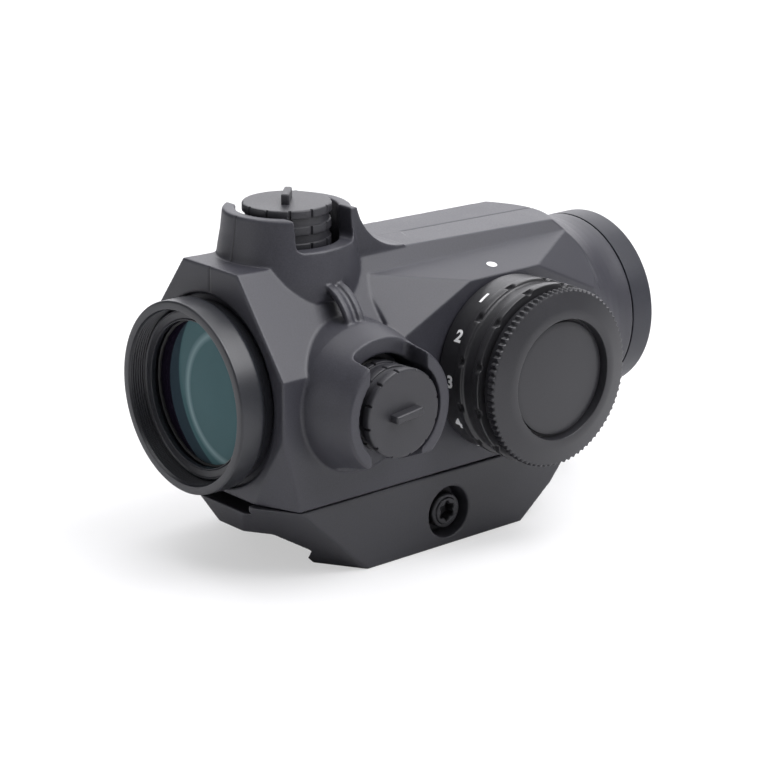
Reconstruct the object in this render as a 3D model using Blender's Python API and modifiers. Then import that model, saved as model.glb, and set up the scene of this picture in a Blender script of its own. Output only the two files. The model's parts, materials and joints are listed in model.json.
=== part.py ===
"""Tubular red dot finder with a rail clamp base.

Row frame: origin on the rail seat, midway between the clamping lips, straight below the knob's axis.
+Y points forward along the optical axis, +X towards the brightness knob, +Z up.
All dimensions below are in millimetres; MM turns them into Blender's metres.
"""

import math

import bmesh
import bpy
from mathutils import Matrix, Vector

MM = 0.001

# Driving dimensions
AXIS_Z = 20.3  # optical axis above the rail seat
REAR_Y = -46.3  # rim of the ocular bezel
FRONT_Y = 33.4  # rim of the objective hood
SHELL_REAR_Y = -41.0  # rear face of the housing
HOOD_Y = 29.1  # joint between the housing neck and the objective hood
HALF_WIDTH = 16.1  # optical axis to the flat sides of housing and base
SPLIT_Z = 5.75  # parting plane of housing and base
GAP = 0.3  # assembly gap between neighbouring pieces

# Housing section
ROOF_HALF = 6.9
ROOF_REAR_Z = AXIS_Z + 18.1
ROOF_SLOPE = 0.0268  # the roof falls towards the objective
SHOULDER_Z = AXIS_Z + 17.1  # where the side chamfer meets the roof
WAIST_Z = AXIS_Z + 4.9  # where the side chamfer meets the flat side
NECK_R = 13.9
BEZEL_R = 13.85
BORE_R = 12.0
COLLAR_R = 14.0  # shallow relief round the ocular bezel

# Turrets
TURRET_Y = -27.15
TURRET_AT = (0, TURRET_Y, AXIS_Z)
GUARD_BORE_R = 7.3
GUARD_TOP = 24.5  # guard rim, measured from the optical axis
CUP_FLOOR = 16.5
CAP_R = 6.36
CAP_FACE = 25.2
BLADE_LENGTH = 4.9
BLADE_WIDTH = 1.15
BLADE_HEIGHT = 1.5

# Brightness knob and battery compartment
KNOB_Y = 0.0
KNOB_R = 12.95
KNOB_BACK = HALF_WIDTH + GAP
KNOB_FRONT = 24.8
GRIP_R = 13.2
GROOVE_R = 12.15
CAP_BACK = 26.6
CAP_OUT = 28.5
CAP_RIM_R = 13.1
BATTERY_R = 10.0
BATTERY_T = 3.2
CHAMBER_FLOOR = 20.3
DETENT_R = 9.4

# Optic tube on its gimbal
TUBE_R = 10.9
TUBE_REAR_Y = -33.5
TUBE_FRONT_Y = 25.5
GIMBAL_Y = 16.5

# Rail clamp
RAIL_TOP_HALF = 7.95
RAIL_WIDE_HALF = 10.75
LIP_HALF = 8.9
LIP_Z = -5.65
SCREW_Y = -10.5
SCREW_Z = -0.65
JAW_REAR_Y = -23.5
JAW_FRONT_Y = 3.5
JAW_TOP_Z = 3.4
BASE_SCREWS = [(-5.0, -25.5), (5.0, -25.5), (-5.0, 6.5), (5.0, 6.5)]

HOUSING_STEPS = 48
ROUND_STEPS = 36
MEDIUM_STEPS = 28
SMALL_STEPS = 16

AXES = {
    "X": Matrix.Rotation(math.radians(90), 4, "Y"),
    "Y": Matrix.Rotation(math.radians(-90), 4, "X"),
    "Z": Matrix.Identity(4),
}

# Where a plate's (u, v, thickness) point in the row frame
FRONT_VIEW = Matrix(((1, 0, 0, 0), (0, 0, -1, 0), (0, 1, 0, 0), (0, 0, 0, 1)))
SIDE_VIEW = Matrix(((0, 0, 1, 0), (1, 0, 0, 0), (0, 1, 0, 0), (0, 0, 0, 1)))


# ---------------------------------------------------------------- scene helpers
def clear_scene():
    for obj in list(bpy.data.objects):
        bpy.data.objects.remove(obj, do_unlink=True)


def new_collection(name):
    collection = bpy.data.collections.new(name)
    bpy.context.scene.collection.children.link(collection)
    return collection


def material(name, colour, roughness, metallic):
    made = bpy.data.materials.new(name)
    made.use_nodes = True
    shader = made.node_tree.nodes["Principled BSDF"]
    shader.inputs["Base Color"].default_value = (*colour, 1.0)
    shader.inputs["Roughness"].default_value = roughness
    shader.inputs["Metallic"].default_value = metallic
    return made


FINISHES = {
    "anodised": ((0.035, 0.036, 0.040), 0.45, 0.6),
    "polymer": ((0.030, 0.030, 0.033), 0.50, 0.0),
    "steel": ((0.060, 0.060, 0.065), 0.35, 0.9),
    "spring": ((0.55, 0.55, 0.57), 0.30, 1.0),
    "brass": ((0.60, 0.45, 0.20), 0.35, 1.0),
    "rubber": ((0.015, 0.015, 0.015), 0.70, 0.0),
    "glass": ((0.20, 0.36, 0.38), 0.05, 0.0),
    "board": ((0.02, 0.12, 0.06), 0.50, 0.0),
    "lamp": ((0.60, 0.05, 0.04), 0.20, 0.0),
    "cell": ((0.62, 0.62, 0.64), 0.28, 1.0),
}


def dress(obj, finish):
    """Gives a piece its own material and puts it in the product's collection."""
    obj.data.materials.clear()
    obj.data.materials.append(material(obj.name, *FINISHES[finish]))
    PRODUCT.objects.link(obj)
    return obj


def hide(obj):
    """Makes an object a cutter or a joining shape: a helper that is not a piece."""
    obj.hide_render = True
    obj.display_type = "WIRE"
    HELPERS.objects.link(obj)
    return obj


def boolean(obj, operation, *others, solver="EXACT"):
    for other in others:
        modifier = obj.modifiers.new(operation.lower(), "BOOLEAN")
        modifier.operation = operation
        modifier.solver = solver
        modifier.object = other
    return obj


def object_from(bm, name):
    bmesh.ops.recalc_face_normals(bm, faces=bm.faces[:])
    bmesh.ops.scale(bm, vec=(MM, MM, MM), verts=bm.verts[:])
    mesh = bpy.data.meshes.new(name)
    bm.to_mesh(mesh)
    bm.free()
    return bpy.data.objects.new(name, mesh)


# ---------------------------------------------------------------- shape helpers
def block(name, low, high, planes=()):
    """A box between two corners, trimmed by planes given as (point, outward normal)."""
    low, high = Vector(low), Vector(high)
    bm = bmesh.new()
    bmesh.ops.create_cube(bm, size=1.0)
    bmesh.ops.scale(bm, vec=high - low, verts=bm.verts[:])
    bmesh.ops.translate(bm, vec=(high + low) / 2, verts=bm.verts[:])
    for point, normal in planes:
        cells = bm.verts[:] + bm.edges[:] + bm.faces[:]
        bmesh.ops.bisect_plane(bm, geom=cells, plane_co=point, plane_no=normal, clear_outer=True)
        bmesh.ops.holes_fill(bm, edges=[edge for edge in bm.edges if edge.is_boundary])
    return object_from(bm, name)


def turned(name, profile, at=(0, 0, 0), axis="Z", steps=ROUND_STEPS):
    """A turned piece. The profile is (radius, height) from the top, down its outer side and back up."""
    hollow = profile[0][0] > 0
    count = len(profile)
    mesh = bpy.data.meshes.new(name)
    points = [(radius * MM, 0.0, height * MM) for radius, height in profile]
    edges = [(i, (i + 1) % count) for i in range(count if hollow else count - 1)]
    mesh.from_pydata(points, edges, [])
    obj = bpy.data.objects.new(name, mesh)
    screw = obj.modifiers.new("turn", "SCREW")
    screw.axis = "Z"
    screw.steps = steps
    screw.render_steps = steps
    screw.use_merge_vertices = True
    screw.merge_threshold = 0.00001
    obj.matrix_world = Matrix.Translation(Vector(at) * MM) @ AXES[axis]
    return obj


def rod(name, radius, low, high, at=(0, 0, 0), axis="Z", steps=ROUND_STEPS):
    return turned(name, [(0, high), (radius, high), (radius, low), (0, low)], at, axis, steps)


def sleeve(name, outer, inner, low, high, at=(0, 0, 0), axis="Z", steps=ROUND_STEPS):
    profile = [(outer, high), (outer, low), (inner, low), (inner, high)]
    return turned(name, profile, at, axis, steps)


def o_ring(name, radius, section, height, at, axis, steps=MEDIUM_STEPS):
    """A round-section ring about the axis, turned from a six-sided section."""
    angles = [math.radians(90 - 60 * i) for i in range(6)]
    profile = [(radius + section * math.cos(a), height + section * math.sin(a)) for a in angles]
    return turned(name, profile, at, axis, steps)


def pivot(name, at, *pieces):
    """Parents pieces to an empty that stands on their joint's axis, without moving them."""
    empty = bpy.data.objects.new(name, None)
    empty.matrix_world = Matrix.Translation(Vector(at) * MM)
    empty.empty_display_size = 5 * MM
    PRODUCT.objects.link(empty)
    for piece in pieces:
        piece.parent = empty
        piece.matrix_parent_inverse = empty.matrix_world.inverted()


def coil(name, radius, wire, low, high, turns, at, axis):
    """A helical spring of round wire about the axis."""
    per_turn = 10
    count = int(turns * per_turn) + 1
    curve = bpy.data.curves.new(name, "CURVE")
    curve.dimensions = "3D"
    curve.bevel_depth = wire * MM
    curve.bevel_resolution = 1
    curve.use_fill_caps = True
    spline = curve.splines.new("POLY")
    spline.points.add(count - 1)
    for i, point in enumerate(spline.points):
        turn = 2 * math.pi * i / per_turn
        height = low + (high - low) * i / (count - 1)
        point.co = (radius * math.cos(turn) * MM, radius * math.sin(turn) * MM, height * MM, 1)
    obj = bpy.data.objects.new(name, curve)
    obj.matrix_world = Matrix.Translation(Vector(at) * MM) @ AXES[axis]
    return obj


def plate(name, outline, half_thickness, to_world):
    """A flat outline (u, v) in millimetres, thickened both ways and made a mesh."""
    curve = bpy.data.curves.new(name, "CURVE")
    curve.dimensions = "2D"
    curve.fill_mode = "BOTH"
    curve.extrude = half_thickness * MM
    spline = curve.splines.new("POLY")
    spline.points.add(len(outline) - 1)
    spline.use_cyclic_u = True
    for point, (u, v) in zip(spline.points, outline):
        point.co = (u * MM, v * MM, 0, 1)
    sketch = bpy.data.objects.new(name + "_outline", curve)
    bpy.context.scene.collection.objects.link(sketch)
    bpy.context.view_layer.update()
    solid = sketch.evaluated_get(bpy.context.evaluated_depsgraph_get())
    mesh = bpy.data.meshes.new_from_object(solid)
    bpy.data.objects.remove(sketch, do_unlink=True)
    bm = bmesh.new()
    bm.from_mesh(mesh)
    bmesh.ops.remove_doubles(bm, verts=bm.verts[:], dist=1e-6)
    bmesh.ops.recalc_face_normals(bm, faces=bm.faces[:])
    bm.to_mesh(mesh)
    bm.free()
    obj = bpy.data.objects.new(name, mesh)
    obj.matrix_world = to_world
    return obj


def mirrored(x_normal):
    """Both signs of a plane's X, for a pair of planes symmetric about the YZ plane."""
    point, normal = x_normal
    return [((side * point[0], *point[1:]), (side * normal[0], *normal[1:])) for side in (1, -1)]


# ---------------------------------------------------------------- housing
def shell_block():
    """The faceted body: flat sides, sloping shoulders, a falling roof and cut-back rear corners."""
    chamfer_run = HALF_WIDTH - ROOF_HALF
    chamfer_rise = SHOULDER_Z - WAIST_Z
    roof = ((0, SHELL_REAR_Y, ROOF_REAR_Z), (0, ROOF_SLOPE, 1))
    shoulder = ((HALF_WIDTH, 0, WAIST_Z), (chamfer_rise, 0, chamfer_run))
    rear_corner = ((HALF_WIDTH, SHELL_REAR_Y, AXIS_Z - 3.3), (0.37, -0.90, -0.227))
    planes = [roof, *mirrored(shoulder), *mirrored(rear_corner)]
    low = (-HALF_WIDTH, SHELL_REAR_Y, SPLIT_Z + GAP / 2)
    high = (HALF_WIDTH, HOOD_Y - GAP / 2, ROOF_REAR_Z + 1)
    return block("housing", low, high, planes)


def neck_cutter():
    """Everything outside the cone and the round neck that carry the objective hood."""
    cone_y, cone_r, cone_slope = 17.55, 18.2, 0.6
    wide_y = 6.5
    blend_y = cone_y + (cone_r - NECK_R) / cone_slope
    profile = [
        (32, HOOD_Y + 2),
        (32, wide_y),
        (cone_r + cone_slope * (cone_y - wide_y), wide_y),
        (NECK_R + cone_slope * 1.8, blend_y - 1.8),
        (NECK_R + 0.42, blend_y - 0.3),
        (NECK_R + 0.10, blend_y + 1.2),
        (NECK_R, blend_y + 2.6),
        (NECK_R, HOOD_Y + 2),
    ]
    return hide(turned("neck_cutter", profile, (0, 0, AXIS_Z), "Y", HOUSING_STEPS))


def guard(name, axis, foot_r, foot=13.0):
    """The flared wall that protects one turret, from its foot inside the shell."""
    profile = [
        (0, GUARD_TOP),
        (8.95, GUARD_TOP),
        (9.15, GUARD_TOP - 0.35),
        (9.45, GUARD_TOP - 3.0),
        (9.85, GUARD_TOP - 5.2),
        (foot_r, 15.8),
        (foot_r + 0.2, foot),
        (0, foot),
    ]
    return hide(turned(name, profile, TURRET_AT, axis, HOUSING_STEPS))


def knob_boss():
    """The hipped pad that fills the shoulder behind the knob, flush with the flat side."""
    ridge = ((8.56, 0, AXIS_Z + 14.9), (1.7, 0, 7.54))
    corner = (HALF_WIDTH, KNOB_Y - 6.5, AXIS_Z + 13.2)
    rear = (corner, (118.2, -53.6, 112.0))
    front = ((corner[0], KNOB_Y + 6.5, corner[2]), (118.2, 53.6, 112.0))
    low = (5.0, KNOB_Y - 20.5, AXIS_Z + 2.0)
    high = (HALF_WIDTH, KNOB_Y + 20.5, AXIS_Z + 16.0)
    return hide(block("knob_boss", low, high, [ridge, rear, front]))


def tower_flare():
    """The concave sweep that runs from the front of the elevation guard down to the roof."""
    sweep_r = 9.2
    sweep_y, sweep_z = -11.06, AXIS_Z + 26.7
    top_z = AXIS_Z + GUARD_TOP - 0.1
    start = math.degrees(math.asin((top_z - sweep_z) / sweep_r))
    angles = [math.radians(180 - start + (start + 90) * i / 12) for i in range(13)]
    arc = [(sweep_y + sweep_r * math.cos(a), sweep_z + sweep_r * math.sin(a)) for a in angles]
    outline = [(TURRET_Y, AXIS_Z + 12), (sweep_y, AXIS_Z + 12)] + arc[::-1] + [(TURRET_Y, top_z)]
    return hide(plate("tower_flare", outline, ROOF_HALF, SIDE_VIEW))


def lanyard_eye():
    """The cast arch between the two guards, for a cap lanyard."""
    centre = Vector((11.6, TURRET_Y, AXIS_Z + 10.85))
    down = Vector((0.6, 0, -0.8))
    out = Vector((0.8, 0, 0.6))
    long_r, high_r, thick, half_width = 5.0, 3.25, 0.95, 1.55
    outer = [math.radians(180 * i / 12) for i in range(13)]
    ring = [(long_r * math.cos(a), high_r * math.sin(a)) for a in outer]
    hole = [((long_r - thick) * math.cos(a), (high_r - thick) * math.sin(a)) for a in reversed(outer)]
    legs_out = [(-long_r, -1.6), (-long_r + thick, -1.6)]
    legs_in = [(long_r - thick, -1.6), (long_r, -1.6)]
    outline = ring + legs_out + hole + legs_in
    width = out.cross(down)
    turn = Matrix((down, out, -width)).transposed().to_4x4()
    return hide(plate("lanyard_eye", outline, half_width, Matrix.Translation(centre * MM) @ turn))


def turret_cutter(axis):
    """The guard's bore and, below its floor, the smaller bore through the wall to the optic tube."""
    profile = [
        (0, GUARD_TOP + 2),
        (GUARD_BORE_R, GUARD_TOP + 2),
        (GUARD_BORE_R, CUP_FLOOR),
        (4.5, CUP_FLOOR),
        (4.5, 9.0),
        (0, 9.0),
    ]
    return hide(turned(f"turret_cutter_{axis}", profile, TURRET_AT, axis, HOUSING_STEPS))


def guard_notches():
    """The finger notches on both sides of each guard and the slanted cut under the windage guard."""
    across = block(
        "elevation_notch",
        (-13.0, TURRET_Y - 4.85, AXIS_Z + 20.0),
        (13.0, TURRET_Y + 6.0, AXIS_Z + 27.0),
    )
    top = block(
        "windage_notch",
        (20.3, TURRET_Y - 5.3, AXIS_Z + 3.0),
        (27.0, TURRET_Y + 4.9, AXIS_Z + 13.0),
    )
    bottom = block(
        "windage_lower_notch",
        (HALF_WIDTH + GAP, TURRET_Y - 5.1, AXIS_Z - 13.0),
        (27.0, TURRET_Y + 3.9, AXIS_Z - 3.0),
    )
    under = block(
        "windage_underside",
        (HALF_WIDTH, TURRET_Y - 13, AXIS_Z - 14),
        (27.0, TURRET_Y + 13, AXIS_Z - 4),
        [((24.4, 0, AXIS_Z - 6.9), (-0.44, 0, 1))],
    )
    for notch in (across, top, bottom):
        bevel = notch.modifiers.new("round", "BEVEL")
        bevel.width = 0.9 * MM
        bevel.segments = 3
    return [hide(notch) for notch in (across, top, bottom, under)]


def housing_cutters():
    """The bores and holes: optic tube, switch board, wire, detent ball and base screws."""
    bore_profile = [
        (0, HOOD_Y + 2),
        (BORE_R, HOOD_Y + 2),
        (BORE_R, SHELL_REAR_Y + 1.0),
        (COLLAR_R, SHELL_REAR_Y + 1.0),
        (COLLAR_R, SHELL_REAR_Y - 2),
        (0, SHELL_REAR_Y - 2),
    ]
    bore = turned("bore_cutter", bore_profile, (0, 0, AXIS_Z), "Y", HOUSING_STEPS)
    at = (0, KNOB_Y, AXIS_Z)
    pocket = rod("board_pocket", 7.5, 13.6, HALF_WIDTH + 2, at, "X", MEDIUM_STEPS)
    wire_way = rod("wire_way", 1.2, 9.0, 14.6, (0, KNOB_Y, AXIS_Z - 4), "X", 12)
    ball_bore = rod("ball_bore", 1.1, 13.3, HALF_WIDTH + 2, (0, KNOB_Y, AXIS_Z - DETENT_R), "X", 12)
    holes = [
        rod(f"base_thread_{i}", 1.7, SPLIT_Z - 1, 8.4, (x, y, 0), "Z", 12)
        for i, (x, y) in enumerate(BASE_SCREWS)
    ]
    return [hide(cutter) for cutter in (bore, pocket, wire_way, ball_bore, *holes)]


def make_housing():
    housing = shell_block()
    joined = [knob_boss(), guard("elevation_guard", "Z", 10.4), guard("windage_guard", "X", 10.7, 9.8)]
    joined += [tower_flare(), lanyard_eye()]
    cut = [neck_cutter(), turret_cutter("Z"), turret_cutter("X"), *guard_notches(), *housing_cutters()]
    # Every operand is closed, and EXACT leaves open edges where the guards, sweep and bores meet.
    boolean(housing, "UNION", *joined, solver="MANIFOLD")
    boolean(housing, "DIFFERENCE", *cut, solver="MANIFOLD")
    dress(housing, "anodised")


# ---------------------------------------------------------------- optics
def make_ocular():
    """The rear bezel with the flat sealed window that its retaining ring holds."""
    at = (0, 0, AXIS_Z)
    bezel = [
        (12.45, REAR_Y),
        (12.45, REAR_Y + 3.6),
        (11.75, REAR_Y + 3.6),
        (11.75, REAR_Y + 7.2),
        (9.75, REAR_Y + 7.2),
        (9.75, REAR_Y + 9.8),
        (11.6, REAR_Y + 9.8),
        (11.6, SHELL_REAR_Y + 0.7),
        (13.0, SHELL_REAR_Y + 0.7),
        (13.0, SHELL_REAR_Y - 0.5),
        (BEZEL_R, SHELL_REAR_Y - 1.6),
        (BEZEL_R, REAR_Y + 0.3),
        (BEZEL_R - 0.3, REAR_Y),
    ]
    dress(turned("ocular_bezel", bezel, at, "Y"), "anodised")
    lens = [
        (0, REAR_Y + 6.75),
        (5.0, REAR_Y + 6.75),
        (11.4, REAR_Y + 6.6),
        (11.4, REAR_Y + 4.6),
        (0, REAR_Y + 4.3),
    ]
    dress(turned("ocular_lens", lens, at, "Y"), "glass")
    dress(o_ring("ocular_seal", 10.6, 0.25, REAR_Y + 4.0, at, "Y"), "rubber")
    dress(sleeve("ocular_retaining_ring", 12.15, 10.6, REAR_Y + 2.2, REAR_Y + 3.3, at, "Y"), "anodised")


def make_hood():
    """The objective hood, screwed into the front of the housing's neck."""
    at = (0, 0, AXIS_Z)
    hood = [
        (NECK_R - 0.3, FRONT_Y),
        (NECK_R, FRONT_Y - 0.3),
        (NECK_R, HOOD_Y + GAP / 2),
        (11.65, HOOD_Y + GAP / 2),
        (11.65, HOOD_Y - 2.2),
        (10.9, HOOD_Y - 2.2),
        (10.9, HOOD_Y + 0.6),
        (12.6, HOOD_Y + 2.2),
        (12.6, FRONT_Y),
    ]
    dress(turned("objective_hood", hood, at, "Y"), "anodised")


def make_optic_tube():
    """The inner tube that the two adjusters tilt, with its lens, retaining ring and emitter."""
    at = (0, 0, AXIS_Z)
    tube = [
        (10.7, TUBE_FRONT_Y),
        (10.7, GIMBAL_Y + 2.2),
        (10.2, GIMBAL_Y + 2.2),
        (10.2, GIMBAL_Y - 2.2),
        (TUBE_R, GIMBAL_Y - 2.2),
        (TUBE_R, TUBE_REAR_Y),
        (9.75, TUBE_REAR_Y),
        (9.75, GIMBAL_Y - 3.2),
        (9.2, GIMBAL_Y - 3.2),
        (9.2, TUBE_FRONT_Y - 4.6),
        (9.9, TUBE_FRONT_Y - 4.6),
        (9.9, TUBE_FRONT_Y),
    ]
    pieces = [dress(turned("optic_tube", tube, at, "Y"), "anodised")]
    lens = [
        (0, TUBE_FRONT_Y - 1.1),
        (5.0, TUBE_FRONT_Y - 1.25),
        (9.6, TUBE_FRONT_Y - 1.9),
        (9.6, TUBE_FRONT_Y - 4.3),
        (5.0, TUBE_FRONT_Y - 3.75),
        (0, TUBE_FRONT_Y - 3.6),
    ]
    pieces.append(dress(turned("objective_lens", lens, at, "Y", MEDIUM_STEPS), "glass"))
    low, high = TUBE_FRONT_Y - 1.1, TUBE_FRONT_Y - 0.1
    pieces.append(dress(sleeve("objective_retaining_ring", 9.6, 8.9, low, high, at, "Y"), "anodised"))
    gimbal = sleeve("gimbal_ring", 11.7, 10.5, GIMBAL_Y - 1.6, GIMBAL_Y + 1.6, at, "Y")
    pieces.append(dress(gimbal, "steel"))
    pivot("optic_tube_pivot", (0, GIMBAL_Y, AXIS_Z), *pieces, *make_emitter())


def make_emitter():
    """The emitter block on the tube's floor, with the lamp facing the objective lens."""
    lamp_at = (0, 0, AXIS_Z - 8.2)
    holder = block("emitter_holder", (-1.7, -31.5, AXIS_Z - 9.3), (1.7, -26.5, AXIS_Z - 6.9))
    socket = rod("lamp_socket", 0.9, -28.1, -25.5, lamp_at, "Y", SMALL_STEPS)
    dress(boolean(holder, "DIFFERENCE", hide(socket)), "board")
    lamp = dress(rod("led_emitter", 0.6, -27.8, -25.7, lamp_at, "Y", SMALL_STEPS), "lamp")
    return holder, lamp


def make_bias_spring():
    """The bowed leaf that pushes the tube against both adjusters, lying in the lower left of the bore."""
    outer_r, inner_r = 11.85, 11.6
    angles = [math.radians(225 - 17 + 34 * i / 8) for i in range(9)]
    outline = [(outer_r * math.cos(a), outer_r * math.sin(a)) for a in angles]
    outline += [(inner_r * math.cos(a), inner_r * math.sin(a)) for a in reversed(angles)]
    shift = Matrix.Translation(Vector(TURRET_AT) * MM)
    dress(plate("bias_spring", outline, 2.6, shift @ FRONT_VIEW), "spring")


# ---------------------------------------------------------------- turrets
def cap_blade(name, axis, turn_deg):
    """The raised blade across a turret cap, which doubles as the adjusting key."""
    half = Vector((BLADE_LENGTH / 2, BLADE_WIDTH / 2, 0))
    low = -half + Vector((0, 0, CAP_FACE - 0.6))
    blade = block(name, low, half + Vector((0, 0, CAP_FACE + BLADE_HEIGHT)))
    spin = Matrix.Rotation(math.radians(turn_deg), 4, "Z")
    blade.matrix_world = Matrix.Translation(Vector(TURRET_AT) * MM) @ AXES[axis] @ spin
    return hide(blade)


def make_turret(prefix, axis, blade_deg):
    """One adjuster: its threaded collar, slotted dial, plunger, sealed cap and key blade."""
    at = TURRET_AT
    collar = [
        (5.3, 22.4),
        (5.3, 17.8),
        (6.9, 17.8),
        (6.9, CUP_FLOOR + GAP),
        (4.2, CUP_FLOOR + GAP),
        (4.2, 12.6),
        (2.1, 12.6),
        (2.1, 18.4),
        (3.9, 18.4),
        (3.9, 22.4),
    ]
    dress(turned(prefix + "_turret", collar, at, axis, MEDIUM_STEPS), "anodised")
    dial = [(0, 23.0), (3.3, 23.0), (3.6, 22.7), (3.6, 18.7), (2.0, 18.7), (2.0, 21.5), (0, 21.5)]
    dial = turned(prefix + "_dial", dial, at, axis, SMALL_STEPS)
    slot = block(prefix + "_dial_slot", (-4, -0.5, 22.2), (4, 0.5, 24))
    slot.matrix_world = Matrix.Translation(Vector(at) * MM) @ AXES[axis]
    dress(boolean(dial, "DIFFERENCE", hide(slot)), "brass")
    plunger = [(0, 20.6), (1.7, 20.6), (1.7, 11.8), (1.1, 11.25), (0, 11.25)]
    dress(turned(prefix + "_plunger", plunger, at, axis, 14), "steel")
    dress(o_ring(prefix + "_cap_seal", 5.95, 0.3, 18.4, at, axis, 24), "rubber")
    cap = [
        (0, CAP_FACE),
        (CAP_R - 0.4, CAP_FACE),
        (CAP_R, CAP_FACE - 0.4),
        (CAP_R, CAP_FACE - 1.8),
        (CAP_R - 0.25, CAP_FACE - 2.0),
        (CAP_R - 0.25, 19.0),
        (5.6, 19.0),
        (5.6, 23.4),
        (0, 23.4),
    ]
    cap = turned(prefix + "_cap", cap, at, axis, MEDIUM_STEPS)
    dress(boolean(cap, "UNION", cap_blade(prefix + "_blade", axis, blade_deg)), "polymer")


# ---------------------------------------------------------------- brightness knob
def make_knob():
    """The brightness knob, which is also the battery chamber, and everything it carries."""
    at = (0, KNOB_Y, AXIS_Z)
    knob = [
        (GRIP_R, KNOB_FRONT),
        (GRIP_R, KNOB_FRONT - 1.2),
        (GROOVE_R, KNOB_FRONT - 1.2),
        (GROOVE_R, KNOB_FRONT - 3.6),
        (GRIP_R, KNOB_FRONT - 3.6),
        (GRIP_R, KNOB_FRONT - 4.8),
        (KNOB_R, KNOB_FRONT - 4.8),
        (KNOB_R, KNOB_BACK + 0.2),
        (KNOB_R - 0.2, KNOB_BACK),
        (DETENT_R + 1.0, KNOB_BACK),
        (DETENT_R + 1.0, KNOB_BACK + 0.9),
        (DETENT_R - 1.0, KNOB_BACK + 0.9),
        (DETENT_R - 1.0, KNOB_BACK),
        (3.9, KNOB_BACK),
        (3.9, 18.3),
        (3.5, 18.3),
        (3.5, CHAMBER_FLOOR),
        (BATTERY_R + GAP, CHAMBER_FLOOR),
        (BATTERY_R + GAP, 22.9),
        (11.5, 22.9),
        (11.5, KNOB_FRONT),
    ]
    dress(turned("brightness_knob", knob, at, "X"), "polymer")
    battery_low = CHAMBER_FLOOR + GAP
    dress(rod("battery", BATTERY_R, battery_low, battery_low + BATTERY_T, at, "X"), "cell")
    dress(coil("contact_spring", 2.3, 0.22, 18.9, 20.2, 3, at, "X"), "spring")
    cap = [
        (0, CAP_OUT - 0.6),
        (8.55, CAP_OUT - 0.6),
        (8.85, CAP_OUT),
        (10.25, CAP_OUT),
        (CAP_RIM_R, CAP_OUT - 0.9),
        (CAP_RIM_R, CAP_BACK),
        (GROOVE_R, CAP_BACK),
        (GROOVE_R, KNOB_FRONT + GAP),
        (11.2, KNOB_FRONT + GAP),
        (11.2, 23.6),
        (BATTERY_R + GAP, 23.6),
        (BATTERY_R + GAP, 24.1),
        (0, 24.1),
    ]
    dress(turned("battery_cap", cap, at, "X"), "polymer")
    dress(o_ring("battery_cap_seal", 10.9, 0.2, 23.25, at, "X"), "rubber")


def make_switch():
    """The rotary switch under the knob: board, spindle and the spring-loaded detent ball."""
    at = (0, KNOB_Y, AXIS_Z)
    dress(sleeve("circuit_board", 7.2, 4.0, 13.9, 14.9, at, "X", MEDIUM_STEPS), "board")
    spindle = [(3.6, 18.0), (3.6, 15.0), (3.7, 15.0), (3.7, 13.9), (2.2, 13.9), (2.2, 18.0)]
    dress(turned("switch_spindle", spindle, at, "X", SMALL_STEPS), "steel")
    ball_at = Vector((HALF_WIDTH + 0.1, KNOB_Y, AXIS_Z - DETENT_R))
    arc = [math.radians(90 - 30 * i) for i in range(1, 6)]
    ball = [(0, 0.75), *((0.75 * math.cos(a), 0.75 * math.sin(a)) for a in arc), (0, -0.75)]
    dress(turned("detent_ball", ball, ball_at, "X", 12), "spring")
    spring_at = (0, KNOB_Y, AXIS_Z - DETENT_R)
    dress(coil("detent_spring", 0.55, 0.16, 13.75, 14.75, 3, spring_at, "X"), "spring")


# ---------------------------------------------------------------- rail clamp base
def rail_channel(name):
    """The space of the dovetail rail, with its flanks at 45 degrees."""
    flank = RAIL_WIDE_HALF - RAIL_TOP_HALF
    lip_rise = RAIL_WIDE_HALF - LIP_HALF
    half = [
        (RAIL_TOP_HALF, 0),
        (RAIL_WIDE_HALF, -flank),
        (LIP_HALF, -flank - lip_rise),
        (LIP_HALF, LIP_Z - 2),
    ]
    outline = half + [(-x, z) for x, z in reversed(half)]
    return hide(plate(name, outline, 70, FRONT_VIEW))


def base_planes():
    """Cut-back corners behind, sloping nose in front."""
    rear_right = ((HALF_WIDTH, -38.0, SPLIT_Z), (0.40, -0.66, -0.70))
    rear_left = ((-HALF_WIDTH, -31.6, SPLIT_Z), (-0.55, -0.66, -0.55))
    rear_centre = ((0, -41.4, 4.0), (0, -0.87, -0.50))
    nose = [
        ((0, 4.0, LIP_Z), (0, 4.75, -6.0)),
        ((0, 10.0, -0.95), (0, 2.35, -2.0)),
        ((0, 12.0, 1.4), (0, 4.4, -3.8)),
    ]
    front_corner = ((HALF_WIDTH, 11.0, -0.95), (0.45, 0.70, -0.55))
    return [rear_right, rear_left, rear_centre, *nose, *mirrored(front_corner)]


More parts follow.
